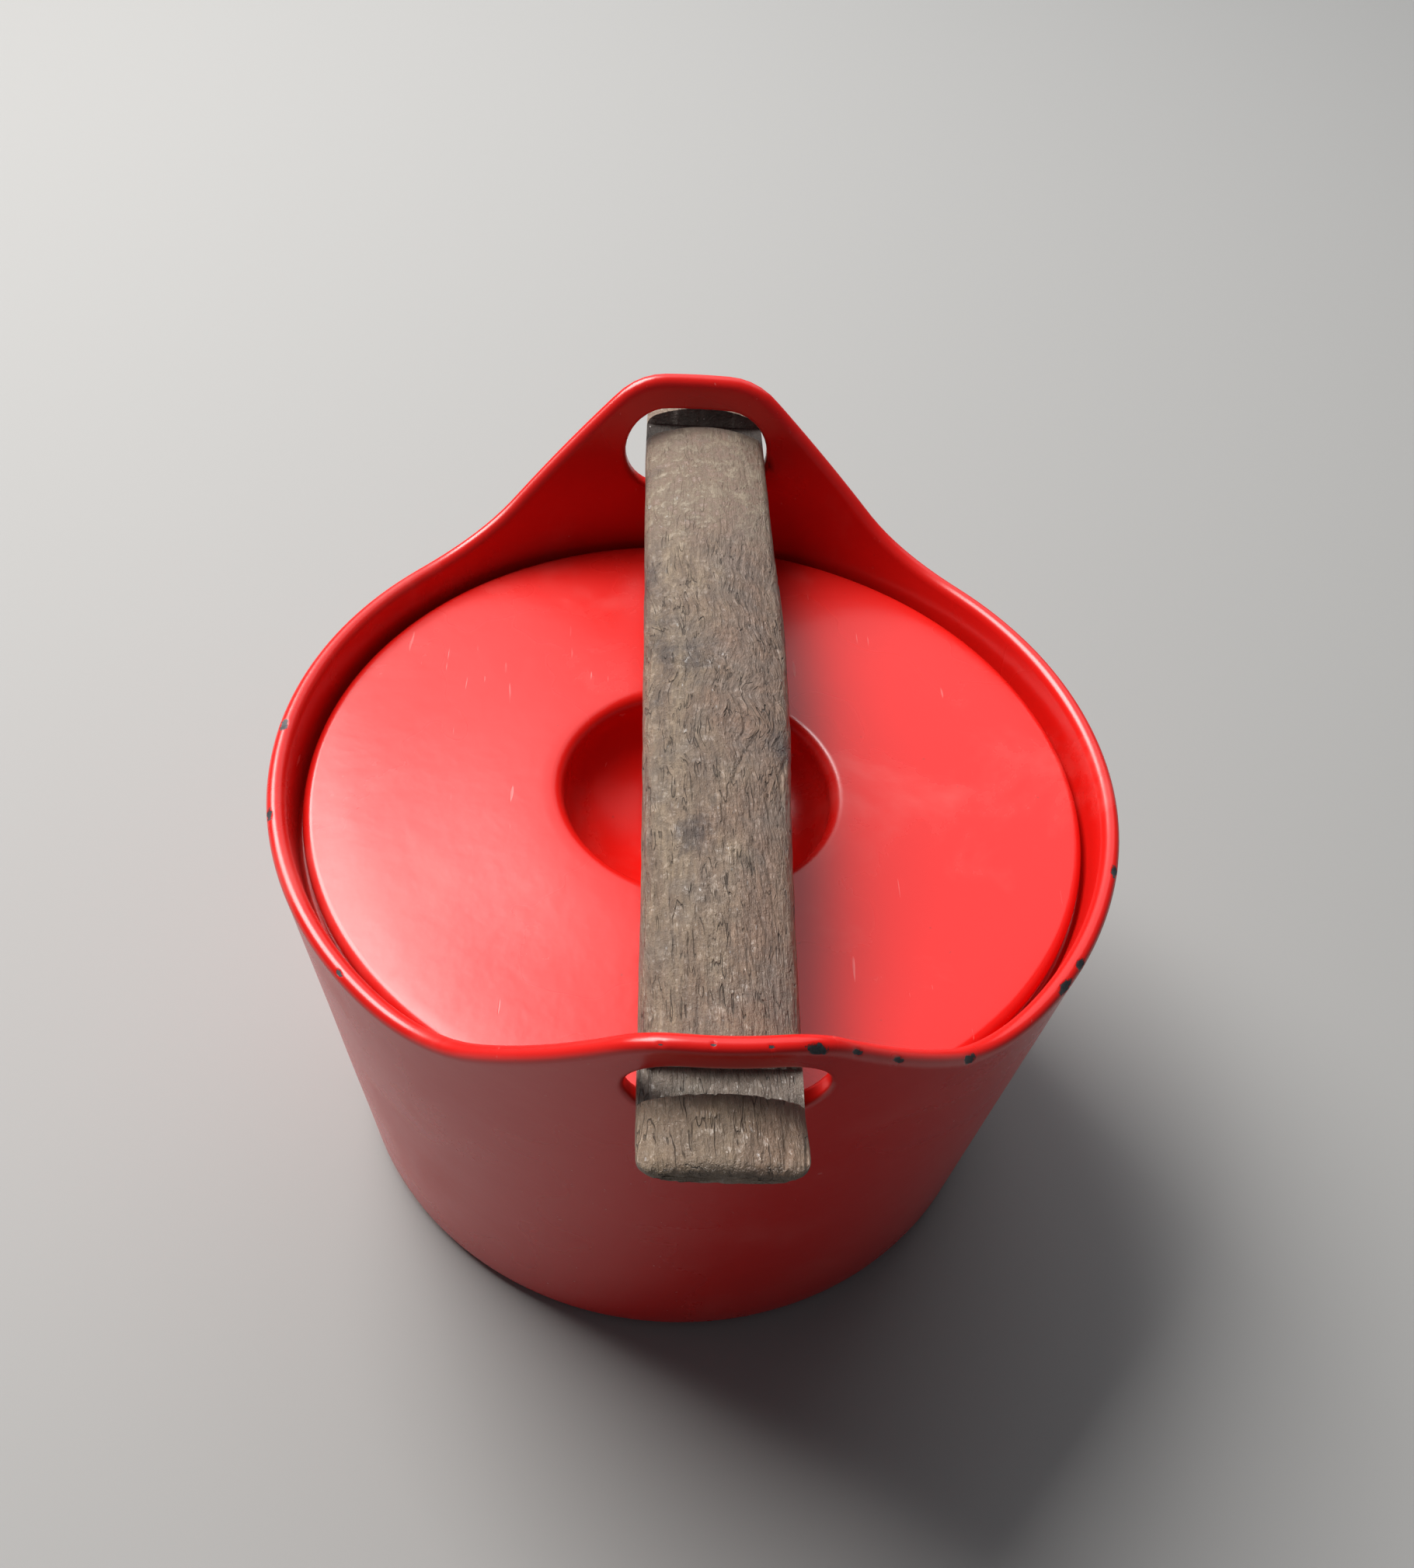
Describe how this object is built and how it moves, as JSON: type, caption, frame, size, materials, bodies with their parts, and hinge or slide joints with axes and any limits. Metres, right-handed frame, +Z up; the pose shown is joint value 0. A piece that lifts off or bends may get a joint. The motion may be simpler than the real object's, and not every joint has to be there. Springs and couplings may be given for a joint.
{
  "type": "lidded cooking pot",
  "caption": "Round enamelled cast-iron cooking pot with two raised lugs, a dropped-in lid with a finger recess, and a loose wooden bar handle.",
  "frame": {"origin": "middle of the flat base, on the surface the pot stands on", "axes": "+Z up, the handle and the two lugs lie along Y, +X to the right of someone who faces the -Y lug"},
  "size_m": [0.2059, 0.2494, 0.1634],
  "materials": {
    "pot_enamel": "glossy red-orange enamel outside, pale enamel inside, bare iron at chips",
    "lid_enamel": "glossy red-orange enamel",
    "handle_wood": "dry aged hardwood, open grain"
  },
  "bodies": {
    "pot": {"pot": "pot_enamel"},
    "lid": {"lid": "lid_enamel"},
    "handle": {"handle": "handle_wood"}
  },
  "joints": [
    {"name": "handle_slide", "type": "slide", "parent": "pot", "child": "handle", "axis": [-0.0183, -0.9998, 0], "range_m": [0, 0.24]},
    {"name": "lid_lift", "type": "slide", "parent": "pot", "child": "lid", "axis": [0, 0, 1], "range_m": [0, 0.015]}
  ]
}
